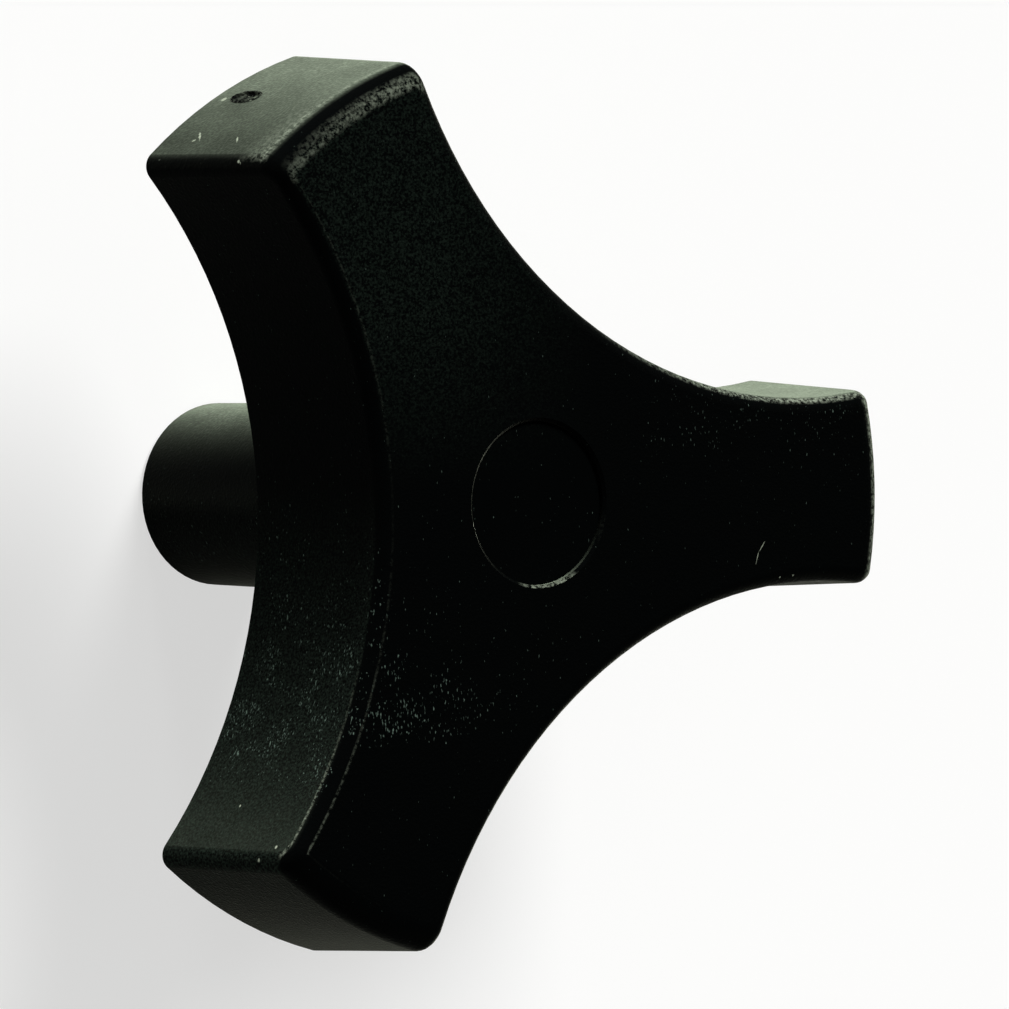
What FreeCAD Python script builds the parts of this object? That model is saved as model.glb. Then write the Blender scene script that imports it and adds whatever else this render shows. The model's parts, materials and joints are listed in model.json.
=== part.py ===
import FreeCAD, Part
import math
import os

# Three-lobe clamping knob with a long hub, and the threaded insert moulded into the hub's end.
# Millimetres. The origin is the centre of the hub's end face and +Z runs along the knob's axis towards its face.
# One lobe points along +X, and the other two stand a third of a turn away on each side.

# Head: outline at the face, thickness and the drafts that widen it towards its back edge
LOBE_COUNT = 3
LOBE_RADIUS = 38.0
LOBE_END_WIDTH = 17.1
WAIST_RADIUS = 15.9
HEAD_THICKNESS = 16.9
END_DRAFT = 4.75
SCALLOP_DRAFT = 2.5

# Roundings of the head's edges
END_ROUNDING = 2.4
SIDE_ROUNDING = 1.35

# Shallow round recess in the middle of the face
RECESS_RADIUS = 6.8
RECESS_DEPTH = 0.6
RECESS_RIM_CHAMFER = 0.25

# Cored back: walls of even thickness, and one rib from the hub into each lobe
SIDE_WALL = 3.0
FACE_WALL = 3.4
RIB_ROOT_RADIUS = 1.2
RIB_THICKNESS = 2.2
RIB_SETBACK = 2.0

# Hub
HUB_RADIUS = 8.25
HUB_LENGTH = 31.4
HUB_END_CHAMFER = 0.4

# Scar of the tunnel gate on the end of the second lobe, just above the back edge
GATE_HEIGHT = 3.9
GATE_LENGTH = 3.7
GATE_WIDTH = 2.1
GATE_DEPTH = 0.35

# Brass insert: hexagonal bar with a turned collar and a groove, which the plastic grips
INSERT_LENGTH = 22.0
INSERT_ACROSS_FLATS = 11.0
COLLAR_STEP = 0.1
COLLAR_LENGTH = 2.0
GROOVE_DEPTH = 0.9
GROOVE_WIDTH = 3.0

# Blind hole of the insert, at the size of the tapping drill for an M8 thread
THREAD_DIAMETER = 8.0
THREAD_PITCH = 1.25
HOLE_DEPTH = 18.0
DRILL_POINT_ANGLE = 118.0
MOUTH_CHAMFER = 0.8

# Sizes that follow from the ones above
LOBE_PITCH = 360.0 / LOBE_COUNT
FACE_HEIGHT = HUB_LENGTH + HEAD_THICKNESS
CORE_HEIGHT = FACE_HEIGHT - FACE_WALL
FLAT_RADIUS = INSERT_ACROSS_FLATS / 2
HOLE_RADIUS = (THREAD_DIAMETER - 0.96 * THREAD_PITCH) / 2

# How far a cutting solid runs past the face that it cuts through
OVERRUN = 1.0

AXIS = FreeCAD.Vector(0, 0, 1)
ORIGIN = FreeCAD.Vector(0, 0, 0)


def tangent(degrees):
    return math.tan(math.radians(degrees))


def around(solid, degrees):
    """A copy of the solid, turned about the knob's axis."""
    copy = solid.copy()
    copy.rotate(ORIGIN, AXIS, degrees)
    return copy


def lobe_angles():
    return [LOBE_PITCH * i for i in range(LOBE_COUNT)]


def scallop_circle():
    """The scallop's arc at the face: it runs through the waist and the tips of the two lobes beside it."""
    half_pitch = math.radians(LOBE_PITCH / 2)
    to_tip = half_pitch - math.asin(LOBE_END_WIDTH / 2 / LOBE_RADIUS)
    reach = LOBE_RADIUS * math.cos(to_tip)
    distance = (LOBE_RADIUS**2 - WAIST_RADIUS**2) / (2 * (reach - WAIST_RADIUS))
    return distance, distance - WAIST_RADIUS


def drafted_disc(radius_at_face, draft, low, high):
    """A disc that widens from the face's height towards the back by its draft."""
    bottom = radius_at_face + (FACE_HEIGHT - low) * tangent(draft)
    top = radius_at_face + (FACE_HEIGHT - high) * tangent(draft)
    return Part.makeCone(bottom, top, high - low, FreeCAD.Vector(0, 0, low), AXIS)


def scallop_cutters(low, high, offset):
    """The solids that hollow the scallops between the lobes, grown by an offset."""
    distance, radius = scallop_circle()
    cutter = drafted_disc(radius + offset, -SCALLOP_DRAFT, low, high)
    cutter.translate(FreeCAD.Vector(distance, 0, 0))
    return [around(cutter, angle + LOBE_PITCH / 2) for angle in lobe_angles()]


def cut_all(solid, cutters):
    for cutter in cutters:
        solid = solid.cut(cutter)
    return solid


def circle_edges(solid, radius, height):
    """The full circles of one radius about the knob's axis, at one height."""
    found = []
    for edge in solid.Edges:
        on_level = edge.BoundBox.ZLength < 0.001 and abs(edge.BoundBox.ZMin - height) < 0.001
        if on_level and abs(edge.Length - 2 * math.pi * radius) < 0.001:
            found.append(edge)
    return found


def is_side_edge(edge):
    """An edge of a scallop, other than the one at the back: up a lobe's corner or along the face."""
    if edge.BoundBox.ZMax < HUB_LENGTH + 0.01:
        return False
    if edge.BoundBox.ZLength > 0.01:
        return True
    middle = edge.valueAt((edge.FirstParameter + edge.LastParameter) / 2)
    on_end_arc = abs(math.hypot(middle.x, middle.y) - (LOBE_RADIUS - END_ROUNDING)) < END_ROUNDING
    return edge.BoundBox.ZMin > FACE_HEIGHT - 0.01 and not on_end_arc


def outer_head():
    """The head as its cavity shapes it: ends rounded first, then each scallop's whole chain of edges."""
    disc = drafted_disc(LOBE_RADIUS, END_DRAFT, HUB_LENGTH, FACE_HEIGHT)
    disc = disc.makeFillet(END_ROUNDING, circle_edges(disc, LOBE_RADIUS, FACE_HEIGHT))
    disc = around(disc, LOBE_PITCH / 2)
    head = cut_all(disc, scallop_cutters(HUB_LENGTH - OVERRUN, FACE_HEIGHT + OVERRUN, 0))
    return head.makeFillet(SIDE_ROUNDING, [edge for edge in head.Edges if is_side_edge(edge)])


def hub():
    post = Part.makeCylinder(HUB_RADIUS, CORE_HEIGHT + OVERRUN)
    return post.makeChamfer(HUB_END_CHAMFER, circle_edges(post, HUB_RADIUS, 0))


def ribs():
    """One rib along the middle of each lobe, lower than the rim of the back."""
    low = HUB_LENGTH + RIB_SETBACK
    size = FreeCAD.Vector(LOBE_RADIUS * 2, RIB_THICKNESS, CORE_HEIGHT - low + OVERRUN)
    rib = Part.makeBox(size.x, size.y, size.z, FreeCAD.Vector(0, -size.y / 2, low))
    return [around(rib, angle) for angle in lobe_angles()]


def core():
    """The hollow of the back, parallel to the outer walls, with the hub and the ribs left standing in it."""
    low = HUB_LENGTH - OVERRUN
    hollow = drafted_disc(LOBE_RADIUS - SIDE_WALL, END_DRAFT, low, CORE_HEIGHT)
    hollow = around(hollow, LOBE_PITCH / 2)
    hollow = cut_all(hollow, scallop_cutters(low - OVERRUN, CORE_HEIGHT + OVERRUN, SIDE_WALL))
    hollow = hollow.cut(Part.makeCylinder(HUB_RADIUS, CORE_HEIGHT + OVERRUN))
    hollow = cut_all(hollow, ribs())
    return hollow.makeFillet(RIB_ROOT_RADIUS, [edge for edge in hollow.Edges if is_rib_root(edge)])


def is_rib_root(edge):
    """An upright edge where a rib meets the hub."""
    if edge.BoundBox.ZLength < CORE_HEIGHT - HUB_LENGTH - RIB_SETBACK - 0.01:
        return False
    return all(abs(math.hypot(vertex.X, vertex.Y) - HUB_RADIUS) < 0.01 for vertex in edge.Vertexes)


def face_recess():
    low = FACE_HEIGHT - RECESS_DEPTH
    return Part.makeCylinder(RECESS_RADIUS, RECESS_DEPTH + OVERRUN, FreeCAD.Vector(0, 0, low))


def gate_scar():
    """The oval mark that the gate left, sunk into the end of the second lobe."""
    height = HUB_LENGTH + GATE_HEIGHT
    surface = LOBE_RADIUS + (FACE_HEIGHT - height) * tangent(END_DRAFT)
    oval = Part.Ellipse(ORIGIN, GATE_LENGTH / 2, GATE_WIDTH / 2).toShape()
    scar = Part.Face(Part.Wire(oval)).extrude(FreeCAD.Vector(0, 0, GATE_DEPTH + OVERRUN))
    scar.rotate(ORIGIN, FreeCAD.Vector(0, 1, 0), -90 + END_DRAFT)
    scar.translate(FreeCAD.Vector(surface + OVERRUN, 0, height))
    return around(scar, LOBE_PITCH)


def turned(points):
    """A solid turned about the axis from a closed outline of radius and height pairs."""
    corners = [FreeCAD.Vector(radius, 0, height) for radius, height in points]
    outline = Part.makePolygon(corners + corners[:1])
    return Part.Face(outline).revolve(ORIGIN, AXIS, 360)


def insert_form():
    """The outside of the insert, which is also the seat that the plastic forms around it."""
    corner_radius = FLAT_RADIUS / math.cos(math.radians(30))
    bar_radius = corner_radius + COLLAR_STEP
    collar_radius = FLAT_RADIUS - COLLAR_STEP
    shoulder = COLLAR_LENGTH + bar_radius - collar_radius
    end = INSERT_LENGTH - (bar_radius - collar_radius)
    middle = INSERT_LENGTH / 2
    groove_radius = FLAT_RADIUS - GROOVE_DEPTH
    envelope = turned([
        (0, 0),
        (collar_radius, 0),
        (collar_radius, COLLAR_LENGTH),
        (bar_radius, shoulder),
        (bar_radius, middle - GROOVE_WIDTH / 2),
        (groove_radius, middle - GROOVE_WIDTH / 2),
        (groove_radius, middle + GROOVE_WIDTH / 2),
        (bar_radius, middle + GROOVE_WIDTH / 2),
        (bar_radius, end),
        (collar_radius, INSERT_LENGTH),
        (0, INSERT_LENGTH),
    ])
    corners = [around(Part.Vertex(corner_radius, 0, -OVERRUN), 60 * i).Point for i in range(6)]
    hexagon = Part.Face(Part.makePolygon(corners + corners[:1]))
    bar = hexagon.extrude(AXIS * (INSERT_LENGTH + 2 * OVERRUN))
    return bar.common(envelope)


def insert_hole():
    """Drilled hole with its pointed end and a chamfered mouth."""
    point = HOLE_DEPTH + HOLE_RADIUS / tangent(DRILL_POINT_ANGLE / 2)
    mouth_radius = HOLE_RADIUS + MOUTH_CHAMFER
    return turned([
        (0, -OVERRUN),
        (mouth_radius + OVERRUN, -OVERRUN),
        (HOLE_RADIUS, MOUTH_CHAMFER),
        (HOLE_RADIUS, HOLE_DEPTH),
        (0, point),
    ])


def knob_body():
    body = outer_head().cut(core()).fuse(hub()).removeSplitter()
    body = body.cut(face_recess())
    body = body.makeChamfer(RECESS_RIM_CHAMFER, circle_edges(body, RECESS_RADIUS, FACE_HEIGHT))
    return body.cut(gate_scar()).cut(insert_form())


def threaded_insert():
    return insert_form().cut(insert_hole())


def main():
    os.makedirs("parts", exist_ok=True)
    pieces = {"knob_body": knob_body(), "threaded_insert": threaded_insert()}
    for name, shape in pieces.items():
        shape.exportStep("parts/" + name + ".step")
        box = shape.BoundBox
        print(name, shape.isValid(), len(shape.Solids), round(shape.Volume, 1))
        print(round(box.XLength, 2), round(box.YLength, 2), round(box.ZLength, 2))


main()
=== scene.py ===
import json
import math

import bmesh
import bpy
from bpy.props import FloatProperty, FloatVectorProperty, PointerProperty
from mathutils import Matrix, Vector, noise


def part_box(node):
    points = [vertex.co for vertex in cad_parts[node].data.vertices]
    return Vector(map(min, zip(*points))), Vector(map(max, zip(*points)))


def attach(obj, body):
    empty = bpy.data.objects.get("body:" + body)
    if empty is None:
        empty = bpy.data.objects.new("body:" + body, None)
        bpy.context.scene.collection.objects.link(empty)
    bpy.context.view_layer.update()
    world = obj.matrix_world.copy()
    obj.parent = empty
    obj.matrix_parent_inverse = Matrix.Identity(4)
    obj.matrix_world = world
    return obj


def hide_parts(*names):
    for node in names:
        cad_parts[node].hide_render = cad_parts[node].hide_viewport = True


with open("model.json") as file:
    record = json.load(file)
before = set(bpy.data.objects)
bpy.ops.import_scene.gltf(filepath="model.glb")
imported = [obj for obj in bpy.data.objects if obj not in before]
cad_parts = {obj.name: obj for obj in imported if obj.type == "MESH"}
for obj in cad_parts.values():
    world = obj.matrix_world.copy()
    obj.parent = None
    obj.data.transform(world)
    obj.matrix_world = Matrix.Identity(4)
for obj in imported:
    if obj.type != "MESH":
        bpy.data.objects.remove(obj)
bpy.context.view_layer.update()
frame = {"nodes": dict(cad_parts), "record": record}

bl_info = {
    "name": "Three-lobe knob",
    "version": (1, 0, 0),
    "blender": (4, 5, 0),
    "location": "3D View > Sidebar > Knob",
    "description": "Dresses a moulded clamping knob and its brass insert, and sets it in a plain studio",
    "category": "Object",
}

MM = 0.001
FACE_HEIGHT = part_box("knob_body")[1].z
INSERT_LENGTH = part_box("threaded_insert")[1].z
THREADED_HOLE = next(mount for mount in frame["record"]["mounts"] if mount["name"] == "threaded_hole")

# Insert: its turned collar and its groove, and the mouth, the depth and the drilled point of its hole
COLLAR_LENGTH = 2 * MM
COLLAR_STEP = 0.1 * MM
GROOVE_WIDTH = 3 * MM
GROOVE_DEPTH = 0.9 * MM
MOUTH_CHAMFER = 0.8 * MM
HOLE_DEPTH = 18 * MM
DRILL_POINT_ANGLE = math.radians(118)
THREAD_RUNOUT = 0.5 * MM

# Divisions of the insert: sides of its collar, rings along a chamfer and steps in a turn of the thread
COLLAR_SIDES = 72
CHAMFER_STEPS = 6
STEPS_PER_TURN = 48

# Torn gate: the lobe's end that it is on, its height and its oval
LOBE_RADIUS = 38 * MM
END_DRAFT = math.radians(4.75)
SCAR_LOBE = math.radians(120)
SCAR_HEIGHT = 35.3 * MM
SCAR_HALF_WIDTH = 1.0 * MM
SCAR_HALF_LENGTH = 1.8 * MM
SCAR_SIDES = 96

# Rings of the torn gate, from the oval's edge inwards: share of the oval, depth in millimetres (negative
# stands proud), raggedness, and the finish: 0 for the moulded rim, 1 for torn plastic
SCAR_RINGS = (
    (1.0, 0.012, 0.0, 0),
    (0.98, 0.012, 0.0, 0),
    (0.92, -0.05, 0.07, 0),
    (0.89, -0.03, 0.07, 1),
    (0.82, 0.18, 0.07, 1),
    (0.6, 0.27, 0.06, 1),
    (0.42, 0.2, 0.04, 1),
    (0.24, 0.28, 0.0, 1),
    (0.05, 0.24, 0.0, 1),
)

# Depth of the oval that the torn plastic fills, and the least that is left under the pit, in millimetres
SCAR_SEAT = 0.34
SCAR_SKIN = 0.02

# Widths of the patterns in the plastic: patches of the skin, chips along rubbed edges and painted highlights,
# mottled grains of painted glints, ragged outlines of nicks, ticks where fibres lie bare and glints are
# painted, and fibres and clumps of torn plastic. The glass fibres are 0.01 mm thick, which is too fine to
# show, so they are drawn coarser. Ticks show where their noise is above a level, which drops in the speckled
# areas
PATCH_WIDTH = 3.5 * MM
CHIP_WIDTH = 0.4 * MM
MOTTLE_WIDTH = 0.2 * MM
RAGGED_WIDTH = 0.35 * MM
TICK_WIDTH = 0.17 * MM
TICK_STRETCH = 2.7
TICK_LEVEL = 0.76
TICK_LEVEL_DROP = 0.19
TICK_SOFTNESS = 0.18
FIBRE_WIDTH = 0.22 * MM
CLUMP_WIDTH = 0.7 * MM
FIBRE_HEIGHT = 0.1 * MM

# Patterns in the brass: height of the tool's rings and width of the dulled patches
RING_HEIGHT = 0.004 * MM
TARNISH_WIDTH = 1.8 * MM

# Nicks and scratches: centre in millimetres, turn about Z and tilt in degrees, and half sizes in millimetres
NICKS = (
    ((-24.38, 30.65, 35.6), 128.5, -44, (0.3, 0.11, 0.7)),
    ((-24.7, 30.2, 35.4), 129.1, 40, (0.3, 0.1, 0.2)),
    ((-24.13, 30.01, 40.9), 128.8, -48, (0.3, 0.1, 0.5)),
    ((-26.03, 28.2, 43.7), 132.7, -40, (0.3, 0.1, 0.25)),
    ((-20.06, 33.78, 32.9), 120.0, 0, (0.5, 0.3, 0.25)),
    ((23.85, -4.7, 48.3), -127, 0, (0.5, 0.035, 0.2)),
    ((23.35, -5.55, 48.3), -108, 0, (0.5, 0.035, 0.2)),
    ((25.91, -7.41, 48.16), 0, 0, (0.08, 0.08, 0.2)),
    ((27.45, -7.31, 48.15), 0, 0, (0.08, 0.08, 0.2)),
    ((-25.77, -27.76, 43.97), 0, 0, (0.2, 0.15, 0.13)),
    ((-25.13, -26.61, 45.54), 0, 0, (0.2, 0.15, 0.13)),
    ((-23.62, -23.94, 38.23), 0, 0, (0.2, 0.14, 0.11)),
    ((-25.79, 28.17, 43.38), 0, 0, (0.2, 0.14, 0.14)),
)

# The masks below are lists of layers. A layer has its share and its ramps, which are multiplied. A ramp rises
# from 0 to 1 between two values of a measure of the surface: its place or its distance from the axis in
# millimetres, or a part of its normal. Painted light: plastic that faces +Y, where the lamps are, is painted
# lighter, and this fades with a power of the normal as the surface turns away
LIT_SIDE_FADE = 5.4
PAINTED_LIT_SIDE = (
    (0.72, (("skyward", 0, 1), ("normal_z", 0.5, 0.25))),
)
# Rubbed edges, partly real wear and partly painted highlights: the lines along the lobe ends' roundings that
# face +Y, the bands beside the face near the top lobe's end, and the arc on the recess's lower rim
WORN_AND_HIGHLIGHTS = (
    (1.0, (("normal_z", 0.11, 0.15), ("normal_z", 0.3, 0.2), ("normal_y", 0.1, 0.5), ("radius", 20, 36))),
    (0.3, (("normal_z", 0.95, 0.97), ("normal_z", 0.994, 0.984), ("normal_y", -0.12, -0.03),
           ("normal_x", 0.06, 0), ("x", 8, 0), ("radius", 14, 36))),
    (0.6, (("z", 43, 46.2), ("normal_z", 0.4, 0.3), ("outward", 0.8, 0.95), ("x", -14, -24), ("y", 20, 24))),
    (0.36, (("normal_z", 0.88, 0.98), ("normal_z", 0.998, 0.99), ("y", 16, 20), ("radius", 35.2, 35.8))),
    (0.8, (("normal_z", 0.76, 0.95), ("normal_z", 0.998, 0.99), ("y", 27, 36), ("radius", 35.2, 35.8))),
    (1.0, (("normal_z", 0.3, 0.45), ("normal_z", 0.86, 0.7), ("normal_y", 0.1, 0.3), ("x", 6, 20))),
    (1.0, (("normal_z", 0.5, 0.58), ("normal_z", 0.96, 0.88), ("normal_x", 0.2, 0.35), ("x", 30, 33))),
    (0.8, (("radius", 6.7, 6.8), ("radius", 7.2, 7.1), ("y", -5.8, -6.4), ("x", -2.4, -1),
           ("normal_z", 0.9, 0.8), ("normal_z", 0.3, 0.6))),
)
# Painted glints: a faint mottling where grains catch the light, on the face's upper lobe and the lower left
# wall
GLINT_HAZE = (
    (0.6, (("normal_z", 0.9, 0.98), ("y", 2, 16), ("x", 6, -10))),
    (1.0, (("normal_x", -0.5, -0.8), ("y", 2, -14), ("normal_z", 0.3, 0.15))),
)
# Bare fibre ends and painted glints, in clusters on the lower face and the lower left wall
FIBRE_AND_GLINT_AREAS = (
    (1.0, (("y", -3, -15), ("y", -19.6, -18.6), ("x", 6, -16), ("normal_z", 0.3, 0.7))),
    (1.0, (("normal_x", -0.5, -0.8), ("y", 3, -15), ("y", -24, -21))),
    (0.5, (("normal_z", 0.9, 0.98), ("x", 6, 16), ("y", 0, 6))),
)

# Camera: place in metres, shift of the picture and width of the sensor in millimetres
CAMERA_PLACE = (-0.23221, 0.01430, 0.35191)
CAMERA_SHIFT = (-0.0348, -0.0017)
SENSOR_WIDTH = 36

# Lamps: direction around the knob from +X, height above the floor and apparent width, in degrees
KEY_LIGHT = (75, 45, 24)
LOW_LIGHT = (98, 2, 10)
FILL_LIGHT = (90, 60, 60)

# Floor: radius in metres, and the strength and share of its own glow where it is seen directly
FLOOR_RADIUS = 3.0
FLOOR_GLOW = 1.1
FLOOR_GLOW_SHARE = 0.6

# Walls: the height, as the sine of an angle, between which their grey fades into the ceiling's
WALL_TOP = (0.17, 0.30)
WALL_COLOUR = (0.1, 0.1, 0.1, 1.0)
CEILING_COLOUR = (0.02, 0.02, 0.02, 1.0)


def linear(hex_colour):
    """An sRGB hex colour as linear red, green, blue and alpha."""
    values = [int(hex_colour[i:i + 2], 16) / 255 for i in (1, 3, 5)]
    return [v / 12.92 if v <= 0.04045 else ((v + 0.055) / 1.055) ** 2.4 for v in values] + [1.0]


def colour_property(name, description, hex_colour):
    return FloatVectorProperty(
        name=name, description=description, default=linear(hex_colour),
        subtype="COLOR", size=4, min=0.0, max=1.0,
    )


class MouldedNylon(bpy.types.PropertyGroup):
    """Black glass-filled nylon, moulded in a spark-eroded cavity."""

    colour: colour_property("Colour", "Black of the plastic", "#030404")
    # Painted light: the lighter grey-green of plastic that faces the lamps at +Y
    painted_lit_side_colour: colour_property("Bleached", "Pale grey-green of the bleached plastic", "#808C79")
    sheen_colour: colour_property("Sheen", "Colour of the grain at a flat angle", "#D8DDC6")
    # Painted glints: the dark grey-green of grains that catch the light
    glint_haze_colour: colour_property("Haze", "Dark grey-green where the skin is thin", "#212B24")
    grain_width: FloatProperty(
        name="Grain width", description="Width of a crater that the spark erosion left in the cavity",
        default=0.26 * MM, min=0.05 * MM, max=2 * MM, unit="LENGTH",
    )
    grain_depth: FloatProperty(
        name="Grain depth", description="Height of the texture's grains",
        default=0.02 * MM, min=0.0, max=0.2 * MM, unit="LENGTH",
    )
    # Rubbed edges and painted highlights along some roundings; in torn plastic, stress whitening
    wear_and_highlight_colour: colour_property("Worn edges", "Grey of the plastic along rubbed edges", "#737B6C")
    # Bare fibre ends and painted glints
    fibre_and_glint_colour: colour_property("Specks", "Cool grey of bare fibre ends in the skin", "#7A9083")
    nick_colour: colour_property("Nicks", "Light grey of nicks and torn fibres", "#8F9785")


class InsertSizes(bpy.types.PropertyGroup):
    """Brass insert, turned from hexagonal bar and tapped."""

    across_flats: FloatProperty(
        name="Across flats", description="Width of the hexagonal bar",
        default=11 * MM, min=5 * MM, max=16 * MM, unit="LENGTH",
    )
    thread_diameter: FloatProperty(
        name="Thread diameter", description="Outer diameter of the thread",
        default=8 * MM, min=3 * MM, max=10 * MM, unit="LENGTH",
    )
    thread_pitch: FloatProperty(
        name="Thread pitch", description="Rise of the thread in one turn",
        default=1.25 * MM, min=0.3 * MM, max=2 * MM, unit="LENGTH",
    )
    thread_length: FloatProperty(
        name="Thread length", description="Depth to which the hole is tapped",
        default=16 * MM, min=2 * MM, max=20 * MM, unit="LENGTH",
    )
    feed: FloatProperty(
        name="Feed", description="Distance between the rings that the lathe tool left",
        default=0.14 * MM, min=0.02 * MM, max=1 * MM, unit="LENGTH",
    )
    colour: colour_property("Colour", "Colour of the freshly turned brass", "#DDBB70")
    tarnish_colour: colour_property("Tarnish", "Colour of the brass where it has dulled", "#B08D52")


class StudioSettings(bpy.types.PropertyGroup):
    """Camera, lamps and floor."""

    azimuth: FloatProperty(
        name="Azimuth", description="Direction of the camera around the knob, from +X",
        default=math.radians(176.48), subtype="ANGLE",
    )
    elevation: FloatProperty(
        name="Elevation", description="Height of the camera above the floor, as an angle",
        default=math.radians(52.54), subtype="ANGLE",
    )
    roll: FloatProperty(
        name="Roll", description="Turn of the camera about its line of sight",
        default=math.radians(91.62), subtype="ANGLE",
    )
    lens: FloatProperty(name="Lens", description="Focal length in millimetres", default=165.33, min=20.0)
    floor_colour: colour_property("Floor", "Colour of the floor", "#FAFAF9")
    key_strength: FloatProperty(
        name="Key light", description="Strength of the high soft light", default=3.2, min=0.0,
    )
    low_strength: FloatProperty(
        name="Low light", description="Strength of the light at floor level", default=3.4, min=0.0,
    )
    fill_strength: FloatProperty(
        name="Fill light", description="Strength of the widest light", default=0.4, min=0.0,
    )


def add_node(tree, kind, settings=None, **inputs):
    """Adds a node, sets its properties, and sets or links each input by name or number. A node that is given
    as an input is linked by its first output."""
    node = tree.nodes.new(kind)
    for name, value in (settings or {}).items():
        setattr(node, name, value)
    for name, value in inputs.items():
        key = int(name[1:]) if name[1:].isdigit() else name.replace("_", " ")
        socket = node.inputs[key]
        if isinstance(value, bpy.types.Node):
            value = value.outputs[0]
        if isinstance(value, bpy.types.NodeSocket):
            tree.links.new(value, socket)
        else:
            socket.default_value = value
    return node


def new_material(name):
    """A material with a node tree that has only its Object coordinates, which are in metres."""
    material = bpy.data.materials.new(name)
    material.use_nodes = True
    tree = material.node_tree
    tree.nodes.clear()
    place = add_node(tree, "ShaderNodeTexCoord").outputs["Object"]
    return material, tree, place


def surface_measures(tree, place):
    """What the layers of a mask measure, by name. Skyward is 1 where the surface faces +Y, and fades away."""
    normal = add_node(tree, "ShaderNodeNewGeometry").outputs["Normal"]
    sides = add_node(tree, "ShaderNodeSeparateXYZ", Vector=normal)
    in_mm = add_node(tree, "ShaderNodeVectorMath", {"operation": "SCALE"}, Vector=place, Scale=1 / MM)
    places = add_node(tree, "ShaderNodeSeparateXYZ", Vector=in_mm)
    flat = add_node(tree, "ShaderNodeVectorMath", {"operation": "MULTIPLY"}, _0=in_mm, _1=(1, 1, 0))
    out = add_node(tree, "ShaderNodeVectorMath", {"operation": "NORMALIZE"}, _0=flat)
    outward = add_node(tree, "ShaderNodeVectorMath", {"operation": "DOT_PRODUCT"}, _0=normal, _1=out)
    radius = add_node(tree, "ShaderNodeVectorMath", {"operation": "LENGTH"}, _0=flat)
    skyward = add_node(
        tree, "ShaderNodeMath", {"operation": "POWER", "use_clamp": True},
        _0=sides.outputs["Y"], _1=LIT_SIDE_FADE,
    )
    return {
        "x": places.outputs["X"], "y": places.outputs["Y"], "z": places.outputs["Z"],
        "radius": radius.outputs["Value"],
        "normal_x": sides.outputs["X"], "normal_y": sides.outputs["Y"], "normal_z": sides.outputs["Z"],
        "outward": outward.outputs["Value"], "skyward": skyward.outputs["Value"],
    }


def layered_mask(tree, measures, layers):
    """The strongest of the layers at each point."""
    strongest = 0.0
    for share, ramps in layers:
        mask = share
        for measure, start, end in ramps:
            ramp = add_node(tree, "ShaderNodeMapRange", Value=measures[measure], From_Min=start, From_Max=end)
            mask = add_node(tree, "ShaderNodeMath", {"operation": "MULTIPLY"}, _0=mask, _1=ramp)
        strongest = add_node(tree, "ShaderNodeMath", {"operation": "MAXIMUM"}, _0=strongest, _1=mask)
    return strongest


def eroded_height(tree, place, grain, scale):
    """Height of the spark-eroded texture: bowls of one grain's width side by side, with finer grit."""
    grit = add_node(tree, "ShaderNodeTexNoise", Vector=place, Scale=scale * 1.7, Detail=0.0)
    distance = grain.outputs["Distance"]
    bowl = add_node(tree, "ShaderNodeMath", {"operation": "MULTIPLY"}, _0=distance, _1=distance)
    return add_node(tree, "ShaderNodeMath", {"operation": "MULTIPLY_ADD"}, _0=grit, _1=0.5, _2=bowl)


def painted_lit_side_share(tree, measures, patches, grain):
    """Painted light on the side facing +Y, which is painted lighter: patchy, and stronger on the rims between
    the texture's bowls.
    """
    patchy = add_node(tree, "ShaderNodeMapRange", Value=patches, From_Min=0.2, From_Max=0.6, To_Min=0.65)
    grainy = add_node(tree, "ShaderNodeMapRange", Value=grain.outputs["Distance"], To_Min=0.65, To_Max=1.4)
    share = layered_mask(tree, measures, PAINTED_LIT_SIDE)
    share = add_node(tree, "ShaderNodeMath", {"operation": "MULTIPLY"}, _0=share, _1=patchy)
    return add_node(tree, "ShaderNodeMath", {"operation": "MULTIPLY", "use_clamp": True}, _0=share, _1=grainy)


def worn_and_highlight_share(tree, place, measures):
    """Where the edges are rubbed, and where highlights are painted along some roundings and the recess's rim:
    broken lines, ragged where they thin out.
    """
    chips = add_node(
        tree, "ShaderNodeTexNoise", Vector=place, Scale=1 / CHIP_WIDTH, Detail=3.0, Roughness=0.75,
    )
    broken = add_node(tree, "ShaderNodeMapRange", Value=chips, From_Min=0.42, From_Max=0.62)
    share = layered_mask(tree, measures, WORN_AND_HIGHLIGHTS)
    return add_node(tree, "ShaderNodeMath", {"operation": "MULTIPLY"}, _0=share, _1=broken)


def glint_haze_share(tree, place, measures):
    """Painted glints: where single grains catch the light a little, a dark mottling."""
    mottle = add_node(
        tree, "ShaderNodeTexNoise", Vector=place, Scale=1 / MOTTLE_WIDTH, Detail=1.0, Roughness=0.6,
    )
    spots = add_node(tree, "ShaderNodeMapRange", Value=mottle, From_Min=0.4, From_Max=0.85)
    share = layered_mask(tree, measures, GLINT_HAZE)
    return add_node(tree, "ShaderNodeMath", {"operation": "MULTIPLY"}, _0=share, _1=spots)


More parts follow.
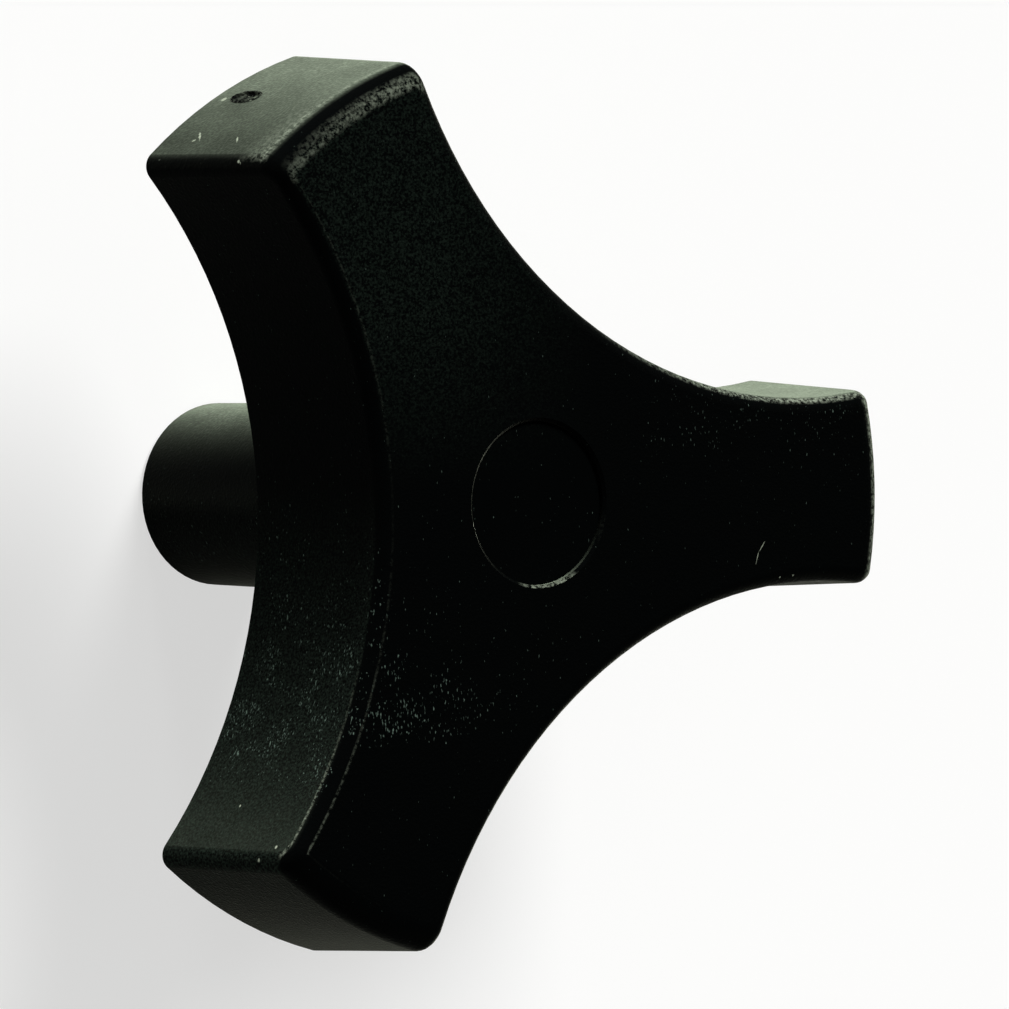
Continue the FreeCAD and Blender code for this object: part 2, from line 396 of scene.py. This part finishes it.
def fibre_and_glint_share(tree, place, measures, patches):
    """Where fibre ends lie bare and where glints are painted: short ticks along Y, many in the speckled areas
    and hardly any elsewhere.
    """
    stretched = add_node(
        tree, "ShaderNodeMapping", {"vector_type": "TEXTURE"}, Vector=place, Scale=(1, TICK_STRETCH, 1),
    )
    ticks = add_node(
        tree, "ShaderNodeTexNoise", Vector=stretched, Scale=1 / TICK_WIDTH, Detail=1.0, Roughness=0.6,
    )
    area = layered_mask(tree, measures, FIBRE_AND_GLINT_AREAS)
    clumps = add_node(tree, "ShaderNodeMapRange", Value=patches, From_Min=0.35, From_Max=0.6)
    area = add_node(tree, "ShaderNodeMath", {"operation": "MULTIPLY"}, _0=area, _1=clumps)
    least = add_node(
        tree, "ShaderNodeMath", {"operation": "MULTIPLY_ADD"}, _0=area, _1=-TICK_LEVEL_DROP, _2=TICK_LEVEL,
    )
    most = add_node(tree, "ShaderNodeMath", {"operation": "ADD"}, _0=least, _1=TICK_SOFTNESS)
    return add_node(tree, "ShaderNodeMapRange", Value=ticks, From_Min=least, From_Max=most, To_Max=0.6)


def nicked_share(tree, place):
    """Where the nicks and scratches are, each a thin ellipsoid that cuts the surface."""
    ragged = add_node(tree, "ShaderNodeTexNoise", Vector=place, Scale=1 / RAGGED_WIDTH, Detail=1.0)
    nearest = 100.0
    for centre, turn, tilt, size in NICKS:
        local = add_node(
            tree, "ShaderNodeMapping", {"vector_type": "TEXTURE"}, Vector=place,
            Location=[side * MM for side in centre],
            Rotation=(math.radians(tilt), 0, math.radians(turn)),
            Scale=[side * MM for side in size],
        )
        reach = add_node(tree, "ShaderNodeVectorMath", {"operation": "LENGTH"}, _0=local).outputs["Value"]
        nearest = add_node(tree, "ShaderNodeMath", {"operation": "MINIMUM"}, _0=reach, _1=nearest)
    uneven = add_node(tree, "ShaderNodeMath", {"operation": "MULTIPLY_ADD"}, _0=ragged, _1=1.6, _2=nearest)
    return add_node(tree, "ShaderNodeMapRange", Value=uneven, From_Min=2.0, From_Max=1.4)


def black_nylon(settings):
    """Glass-filled nylon 6 from a spark-eroded cavity: black, with an even grain that breaks its low gloss
    into a grey-green sheen at flat angles. The side facing +Y is painted lighter, as painted light, and its
    edges are rubbed, with painted highlights along some roundings."""
    material, tree, place = new_material("moulded_black_nylon")
    measures = surface_measures(tree, place)
    scale = 1 / settings.grain_width
    grain = add_node(tree, "ShaderNodeTexVoronoi", {"feature": "F1"}, Vector=place, Scale=scale)
    height = eroded_height(tree, place, grain, scale)
    bump = add_node(tree, "ShaderNodeBump", Strength=1.0, Distance=settings.grain_depth, Height=height)
    patches = add_node(
        tree, "ShaderNodeTexNoise", Vector=place, Scale=1 / PATCH_WIDTH, Detail=4.0, Roughness=0.65,
    )
    colour = settings.colour
    for share, over in (
        (glint_haze_share(tree, place, measures), settings.glint_haze_colour),
        (painted_lit_side_share(tree, measures, patches, grain), settings.painted_lit_side_colour),
        (worn_and_highlight_share(tree, place, measures), settings.wear_and_highlight_colour),
        (fibre_and_glint_share(tree, place, measures, patches), settings.fibre_and_glint_colour),
        (nicked_share(tree, place), settings.nick_colour),
    ):
        coat = add_node(tree, "ShaderNodeMix", {"data_type": "RGBA"}, _0=share, _6=colour, _7=over)
        colour = coat.outputs[2]
    roughness = add_node(tree, "ShaderNodeMapRange", Value=patches, To_Min=0.5, To_Max=0.66)
    shader = add_node(
        tree, "ShaderNodeBsdfPrincipled", Base_Color=colour, Roughness=roughness, IOR=1.53,
        Specular_IOR_Level=0.002, Normal=bump,
        Sheen_Weight=0.5, Sheen_Roughness=0.24, Sheen_Tint=settings.sheen_colour,
    )
    add_node(tree, "ShaderNodeOutputMaterial", Surface=shader)
    return material


def torn_nylon(settings):
    """Broken glass-filled nylon: dull, because the torn fibres trap the light, with a few pale fibre ends."""
    material, tree, place = new_material("torn_black_nylon")
    fibres = add_node(
        tree, "ShaderNodeTexNoise", Vector=place, Scale=1 / FIBRE_WIDTH, Detail=2.0, Roughness=0.7,
    )
    clumps = add_node(tree, "ShaderNodeTexNoise", Vector=place, Scale=1 / CLUMP_WIDTH, Detail=1.0)
    stressed = add_node(tree, "ShaderNodeMapRange", Value=clumps, From_Min=0.42, From_Max=0.62, To_Max=0.3)
    ends = add_node(tree, "ShaderNodeMapRange", Value=fibres, From_Min=0.64, From_Max=0.72)
    colour = settings.colour
    for share, over in ((stressed, settings.wear_and_highlight_colour), (ends, settings.nick_colour)):
        coat = add_node(tree, "ShaderNodeMix", {"data_type": "RGBA"}, _0=share, _6=colour, _7=over)
        colour = coat.outputs[2]
    bump = add_node(tree, "ShaderNodeBump", Strength=1.0, Distance=FIBRE_HEIGHT, Height=fibres)
    shader = add_node(
        tree, "ShaderNodeBsdfPrincipled", Base_Color=colour, Roughness=0.85, IOR=1.53,
        Specular_IOR_Level=0.02, Normal=bump,
    )
    add_node(tree, "ShaderNodeOutputMaterial", Surface=shader)
    return material


def turned_brass(settings):
    """Free-machining brass: rings from the lathe tool, around the axis and on the end, with dull patches."""
    material, tree, place = new_material("turned_brass")
    flat = add_node(tree, "ShaderNodeVectorMath", {"operation": "MULTIPLY"}, _0=place, _1=(1, 1, 0))
    radius = add_node(tree, "ShaderNodeVectorMath", {"operation": "LENGTH"}, _0=flat).outputs["Value"]
    along = add_node(tree, "ShaderNodeSeparateXYZ", Vector=place).outputs["Z"]
    path = add_node(tree, "ShaderNodeMath", {"operation": "ADD"}, _0=radius, _1=along)
    rings = add_node(
        tree, "ShaderNodeTexNoise", {"noise_dimensions": "1D"}, W=path, Scale=1 / settings.feed, Detail=1.0,
    )
    bump = add_node(tree, "ShaderNodeBump", Strength=1.0, Distance=RING_HEIGHT, Height=rings)
    patches = add_node(
        tree, "ShaderNodeTexNoise", Vector=place, Scale=1 / TARNISH_WIDTH, Detail=4.0, Roughness=0.6,
    )
    dulled = add_node(tree, "ShaderNodeMapRange", Value=patches, From_Min=0.4, From_Max=0.68)
    colour = add_node(
        tree, "ShaderNodeMix", {"data_type": "RGBA"},
        _0=dulled, _6=settings.colour, _7=settings.tarnish_colour,
    ).outputs[2]
    roughness = add_node(tree, "ShaderNodeMapRange", Value=dulled, To_Min=0.22, To_Max=0.38)
    shader = add_node(
        tree, "ShaderNodeBsdfPrincipled", Base_Color=colour, Roughness=roughness, Metallic=1.0, Normal=bump,
    )
    add_node(tree, "ShaderNodeOutputMaterial", Surface=shader)
    return material


def finished_piece(name, mesh_data, materials, body):
    """Makes the object of a new piece at the origin, and fixes it to its body."""
    mesh = bpy.data.meshes.new(name)
    mesh_data.to_mesh(mesh)
    mesh_data.free()
    for material in materials:
        mesh.materials.append(material)
    piece = bpy.data.objects.new(name, mesh)
    bpy.context.scene.collection.objects.link(piece)
    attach(piece, body)
    return piece


class KNOB_OT_dress_body(bpy.types.Operator):
    """Gives the moulded body its black nylon"""

    bl_idname = "knob.dress_body"
    bl_label = "Dress the body"

    def execute(self, context):
        body = frame["nodes"]["knob_body"]
        body.data.materials.clear()
        body.data.materials.append(black_nylon(context.scene.knob_nylon))
        return {"FINISHED"}


def new_verts(made):
    return [part for part in made if isinstance(part, bmesh.types.BMVert)]


def loop_edges(made):
    """The edges of an extruded loop, without the ones that join it to the old loop."""
    verts = set(new_verts(made))
    return [part for part in made if isinstance(part, bmesh.types.BMEdge) and verts.issuperset(part.verts)]


def extrude_ring(mesh, edges, height, radius_at):
    """Extrudes a loop about the Z axis to a new height, with a radius that may depend on the direction."""
    made = bmesh.ops.extrude_edge_only(mesh, edges=edges)["geom"]
    for vert in new_verts(made):
        angle = math.atan2(vert.co.y, vert.co.x)
        radius = radius_at(angle)
        vert.co = (radius * math.cos(angle), radius * math.sin(angle), height)
    return loop_edges(made)


def hexagon_radius(angle, across_flats):
    """Distance from the axis to the side of the hexagonal bar. A corner stands on +X."""
    from_flat = (math.degrees(angle) % 60) - 30
    return across_flats / 2 / math.cos(math.radians(from_flat))


def insert_outline(sizes):
    """The collar's radius, and the heights and turned radii of the outside, from the collar onwards."""
    flat = sizes.across_flats / 2
    corner = flat / math.cos(math.radians(30)) + COLLAR_STEP
    collar = flat - COLLAR_STEP
    groove = flat - GROOVE_DEPTH
    groove_low = (INSERT_LENGTH - GROOVE_WIDTH) / 2
    groove_high = (INSERT_LENGTH + GROOVE_WIDTH) / 2
    slope = corner - collar
    steps = [slope * i / CHAMFER_STEPS for i in range(CHAMFER_STEPS + 1)]
    outline = [(COLLAR_LENGTH + step, collar + step) for step in steps]
    outline += [(groove_low, corner), (groove_low, groove), (groove_high, groove), (groove_high, corner)]
    outline += [(INSERT_LENGTH - slope + step, corner - step) for step in steps]
    return collar, outline


def add_outside(mesh, sizes):
    """The hexagonal bar with its turned collar, groove and chamfers. Returns the open loop at the mouth."""
    collar, outline = insert_outline(sizes)
    circle = bmesh.ops.create_circle(mesh, segments=COLLAR_SIDES, radius=collar)["verts"]
    mouth = list({edge for vert in circle for edge in vert.link_edges})
    edges = mouth
    for height, turned in outline:
        edges = extrude_ring(
            mesh, edges, height, lambda angle: min(turned, hexagon_radius(angle, sizes.across_flats)),
        )
    bmesh.ops.contextual_create(mesh, geom=edges)
    return mouth


def thread_profile(minor, major, pitch):
    """One pitch of the internal thread: crest, flank, root and flank, at 60 degrees."""
    flank = (major - minor) * math.tan(math.radians(30))
    root = pitch / 8
    crest = pitch - root - 2 * flank
    return [(minor, 0), (minor, crest), (major, crest + flank), (major, crest + flank + root), (minor, pitch)]


def add_thread(mesh, sizes, minor):
    """One pitch of the profile, turned up the hole as a right-hand screw. It starts two turns below the mouth
    and runs past the tapped length, so that both ends can be cut off level."""
    major, pitch = sizes.thread_diameter / 2, sizes.thread_pitch
    turns = math.ceil(sizes.thread_length / pitch) + 3
    points = [mesh.verts.new((radius, 0, z - 2 * pitch)) for radius, z in thread_profile(minor, major, pitch)]
    lines = [mesh.edges.new(pair) for pair in zip(points, points[1:])]
    bmesh.ops.spin(
        mesh, geom=points + lines, cent=(0, 0, 0), axis=(0, 0, 1), dvec=(0, 0, pitch / STEPS_PER_TURN),
        angle=2 * math.pi * turns, steps=STEPS_PER_TURN * turns, use_merge=False, use_duplicate=False,
    )


def flare_mouth(mesh, mouth_radius):
    """Opens the thread's first turn to the chamfer at the mouth."""
    for vert in mesh.verts:
        radius = math.hypot(vert.co.x, vert.co.y)
        chamfer = mouth_radius - vert.co.z
        if radius < chamfer:
            vert.co.x *= chamfer / radius
            vert.co.y *= chamfer / radius


def cut_level(mesh, height, clear_above):
    """Cuts the mesh at a height, clears one side and returns the edges of the cut."""
    parts = list(mesh.verts) + list(mesh.edges) + list(mesh.faces)
    cut = bmesh.ops.bisect_plane(
        mesh, geom=parts, dist=1e-7, plane_co=(0, 0, height), plane_no=(0, 0, 1),
        clear_outer=clear_above, clear_inner=not clear_above,
    )["geom_cut"]
    return [part for part in cut if isinstance(part, bmesh.types.BMEdge)]


def level_mouth(mesh, mouth_radius):
    """Sets the points of the cut at the mouth on the mouth's circle."""
    for vert in mesh.verts:
        if abs(vert.co.z) < 0.001 * MM:
            vert.co.xy = vert.co.xy.normalized() * mouth_radius
            vert.co.z = 0


def close_hole(mesh, edges, start, minor):
    """The plain end of the drilled hole, down to its point."""
    point = HOLE_DEPTH + minor / math.tan(DRILL_POINT_ANGLE / 2)
    for height, radius in ((start + THREAD_RUNOUT, minor), (HOLE_DEPTH, minor), (point, minor * 0.01)):
        edges = extrude_ring(mesh, edges, height, lambda angle: radius)
    bmesh.ops.contextual_create(mesh, geom=edges)


def insert_mesh(sizes):
    """The whole insert as one closed mesh: the tapped hole first, then the outside, joined at the mouth."""
    minor = THREADED_HOLE["dims"]["r_mm"] * MM
    mouth_radius = minor + MOUTH_CHAMFER
    mesh = bmesh.new()
    add_thread(mesh, sizes, minor)
    bmesh.ops.remove_doubles(mesh, verts=mesh.verts, dist=0.001 * MM)
    flare_mouth(mesh, mouth_radius)
    cut_level(mesh, 0, clear_above=False)
    end = cut_level(mesh, sizes.thread_length, clear_above=True)
    close_hole(mesh, end, sizes.thread_length, minor)
    level_mouth(mesh, mouth_radius)
    bore_mouth = [edge for edge in mesh.edges if edge.is_boundary]
    outer_mouth = add_outside(mesh, sizes)
    bmesh.ops.bridge_loops(mesh, edges=bore_mouth + outer_mouth)
    bmesh.ops.recalc_face_normals(mesh, faces=mesh.faces)
    return mesh


class KNOB_OT_make_insert(bpy.types.Operator):
    """Makes the brass insert with its tapped hole, in place of the plain one"""

    bl_idname = "knob.make_insert"
    bl_label = "Make the insert"

    def execute(self, context):
        sizes = context.scene.knob_insert
        brass = [turned_brass(sizes)]
        piece = finished_piece("threaded_insert_tapped", insert_mesh(sizes), brass, "root")
        for face in piece.data.polygons:
            face.use_smooth = True
        piece.data.set_sharp_from_angle(angle=math.radians(25))
        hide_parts("threaded_insert")
        return {"FINISHED"}


def scar_place():
    """From the scar's own frame (X around the lobe's end, Y up it, Z out of it) to the knob's."""
    radius = LOBE_RADIUS + (FACE_HEIGHT - SCAR_HEIGHT) * math.tan(END_DRAFT)
    centre = Matrix.Translation((radius, 0, SCAR_HEIGHT))
    axes = Matrix(((0, 0, 1, 0), (1, 0, 0, 0), (0, 1, 0, 0), (0, 0, 0, 1)))
    return Matrix.Rotation(SCAR_LOBE, 4, "Z") @ centre @ Matrix.Rotation(-END_DRAFT, 4, "Y") @ axes


def torn_ring(mesh, edges, share, depth, ragged, finish):
    """Extrudes the loop inwards to a share of the oval, with a torn outline and an uneven depth."""
    made = bmesh.ops.extrude_edge_only(mesh, edges=edges)["geom"]
    for vert in new_verts(made):
        out = vert.co.xy.normalized()
        tear = noise.noise(Vector((*out * 3.1, 1.7))) + 0.6 * noise.noise(Vector((*out * 9, 4.1)))
        lump = noise.noise(Vector((*out * share * 5, 7.3)))
        vert.co.xy = out * share * (1 + ragged * tear)
        vert.co.z = -min(depth * (1 + 0.7 * lump), SCAR_SEAT - SCAR_SKIN)
    for face in made:
        if isinstance(face, bmesh.types.BMFace):
            face.material_index = finish
    return loop_edges(made)


def scar_mesh():
    """What fills the gate's oval mark: a flush rim with a torn lip, and the rough pit inside it."""
    mesh = bmesh.new()
    bmesh.ops.create_circle(mesh, segments=SCAR_SIDES, radius=1.0, cap_ends=True)
    bmesh.ops.translate(mesh, vec=(0, 0, -SCAR_SEAT), verts=mesh.verts)
    edges = list(mesh.edges)
    for ring in SCAR_RINGS:
        edges = torn_ring(mesh, edges, *ring)
    for face in bmesh.ops.contextual_create(mesh, geom=edges)["faces"]:
        face.material_index = 1
    bmesh.ops.scale(mesh, vec=(SCAR_HALF_WIDTH, SCAR_HALF_LENGTH, MM), verts=mesh.verts)
    bmesh.ops.transform(mesh, matrix=scar_place(), verts=mesh.verts)
    mesh.normal_update()
    bmesh.ops.recalc_face_normals(mesh, faces=mesh.faces)
    return mesh


class KNOB_OT_tear_gate(bpy.types.Operator):
    """Adds the torn plastic that fills the gate's oval mark"""

    bl_idname = "knob.tear_gate"
    bl_label = "Tear the gate"

    def execute(self, context):
        nylon = frame["nodes"]["knob_body"].data.materials[0]
        finishes = [nylon, torn_nylon(context.scene.knob_nylon)]
        finished_piece("gate_scar", scar_mesh(), finishes, "root")
        return {"FINISHED"}


def camera_rotation(settings):
    """The camera's axes: an upright camera at the azimuth and elevation, then turned by the roll."""
    azimuth, elevation = settings.azimuth, settings.elevation
    level = math.cos(elevation)
    back = Vector((math.cos(azimuth) * level, math.sin(azimuth) * level, math.sin(elevation)))
    right = Vector((-math.sin(azimuth), math.cos(azimuth), 0))
    upright = Matrix((right, back.cross(right), back)).transposed()
    return upright @ Matrix.Rotation(settings.roll, 3, "Z")


def add_camera(context, settings):
    data = bpy.data.cameras.new("camera")
    data.lens = settings.lens
    data.sensor_width = SENSOR_WIDTH
    data.shift_x, data.shift_y = CAMERA_SHIFT
    camera = bpy.data.objects.new("camera", data)
    camera.matrix_world = Matrix.Translation(CAMERA_PLACE) @ camera_rotation(settings).to_4x4()
    context.scene.collection.objects.link(camera)
    context.scene.camera = camera


def add_lamp(context, name, azimuth, elevation, width, strength):
    """A distant soft lamp. Its direction and its apparent width are in degrees."""
    data = bpy.data.lights.new(name, "SUN")
    data.energy = strength
    data.angle = math.radians(width)
    lamp = bpy.data.objects.new(name, data)
    lamp.rotation_euler = (0, math.radians(90 - elevation), math.radians(azimuth))
    context.scene.collection.objects.link(lamp)


def seen_directly(tree):
    """1 for camera, glossy and transmission rays, so that the background also shows in gloss and metal."""
    path = add_node(tree, "ShaderNodeLightPath")
    first = add_node(
        tree, "ShaderNodeMath", {"operation": "MAXIMUM"},
        _0=path.outputs["Is Camera Ray"], _1=path.outputs["Is Glossy Ray"],
    )
    return add_node(
        tree, "ShaderNodeMath", {"operation": "MAXIMUM"}, _0=first, _1=path.outputs["Is Transmission Ray"],
    )


def pale_paper(settings):
    """Matt background paper, which glows a little where it is seen directly, so that it is as pale there."""
    material, tree, _ = new_material("pale_paper")
    paper = add_node(tree, "ShaderNodeBsdfDiffuse", Color=settings.floor_colour)
    glow = add_node(tree, "ShaderNodeEmission", Color=settings.floor_colour, Strength=FLOOR_GLOW)
    share = add_node(
        tree, "ShaderNodeMath", {"operation": "MULTIPLY"}, _0=seen_directly(tree), _1=FLOOR_GLOW_SHARE,
    )
    both = add_node(tree, "ShaderNodeMixShader", Fac=share, _1=paper, _2=glow)
    add_node(tree, "ShaderNodeOutputMaterial", Surface=both)
    return material


def add_floor(context, settings):
    sheet = bmesh.new()
    bmesh.ops.create_circle(sheet, cap_ends=True, segments=96, radius=FLOOR_RADIUS)
    mesh = bpy.data.meshes.new("floor")
    sheet.to_mesh(mesh)
    sheet.free()
    mesh.materials.append(pale_paper(settings))
    floor = bpy.data.objects.new("floor", mesh)
    context.scene.collection.objects.link(floor)


def add_world(context):
    """Pale walls around the knob up to a low height, and a dark ceiling above them."""
    world = bpy.data.worlds.new("studio")
    world.use_nodes = True
    tree = world.node_tree
    tree.nodes.clear()
    direction = add_node(tree, "ShaderNodeTexCoord").outputs["Generated"]
    height = add_node(tree, "ShaderNodeSeparateXYZ", Vector=direction).outputs["Z"]
    above = add_node(tree, "ShaderNodeMapRange", Value=height, From_Min=WALL_TOP[0], From_Max=WALL_TOP[1])
    colour = add_node(
        tree, "ShaderNodeMix", {"data_type": "RGBA"}, _0=above, _6=WALL_COLOUR, _7=CEILING_COLOUR,
    ).outputs[2]
    add_node(tree, "ShaderNodeOutputWorld", Surface=add_node(tree, "ShaderNodeBackground", Color=colour))
    context.scene.world = world


class KNOB_OT_set_stage(bpy.types.Operator):
    """Adds the camera, the soft lights, the pale floor and the walls around it"""

    bl_idname = "knob.set_stage"
    bl_label = "Set the stage"

    def execute(self, context):
        settings = context.scene.knob_studio
        add_camera(context, settings)
        add_lamp(context, "key_light", *KEY_LIGHT, settings.key_strength)
        add_lamp(context, "low_light", *LOW_LIGHT, settings.low_strength)
        add_lamp(context, "fill_light", *FILL_LIGHT, settings.fill_strength)
        add_floor(context, settings)
        add_world(context)
        context.scene.view_settings.view_transform = "Standard"
        return {"FINISHED"}


class KNOB_PT_panel(bpy.types.Panel):
    """Buttons and settings of the knob"""

    bl_idname = "KNOB_PT_panel"
    bl_label = "Three-lobe knob"
    bl_space_type = "VIEW_3D"
    bl_region_type = "UI"
    bl_category = "Knob"

    def draw(self, context):
        for kind in OPERATORS:
            self.layout.operator(kind.bl_idname)
        for name, group in GROUPS.items():
            box = self.layout.box()
            settings = getattr(context.scene, name)
            for key in group.__annotations__:
                box.prop(settings, key)


GROUPS = {"knob_nylon": MouldedNylon, "knob_insert": InsertSizes, "knob_studio": StudioSettings}
OPERATORS = (KNOB_OT_dress_body, KNOB_OT_make_insert, KNOB_OT_tear_gate, KNOB_OT_set_stage)


def register():
    for kind in (*GROUPS.values(), *OPERATORS, KNOB_PT_panel):
        bpy.utils.register_class(kind)
    for name, group in GROUPS.items():
        setattr(bpy.types.Scene, name, PointerProperty(type=group))


def unregister():
    for name in GROUPS:
        delattr(bpy.types.Scene, name)
    for kind in (KNOB_PT_panel, *reversed(OPERATORS), *reversed(GROUPS.values())):
        bpy.utils.unregister_class(kind)


def main():
    register()
    bpy.ops.knob.dress_body()
    bpy.ops.knob.make_insert()
    bpy.ops.knob.tear_gate()
    bpy.ops.knob.set_stage()


if __name__ == "__main__":
    main()
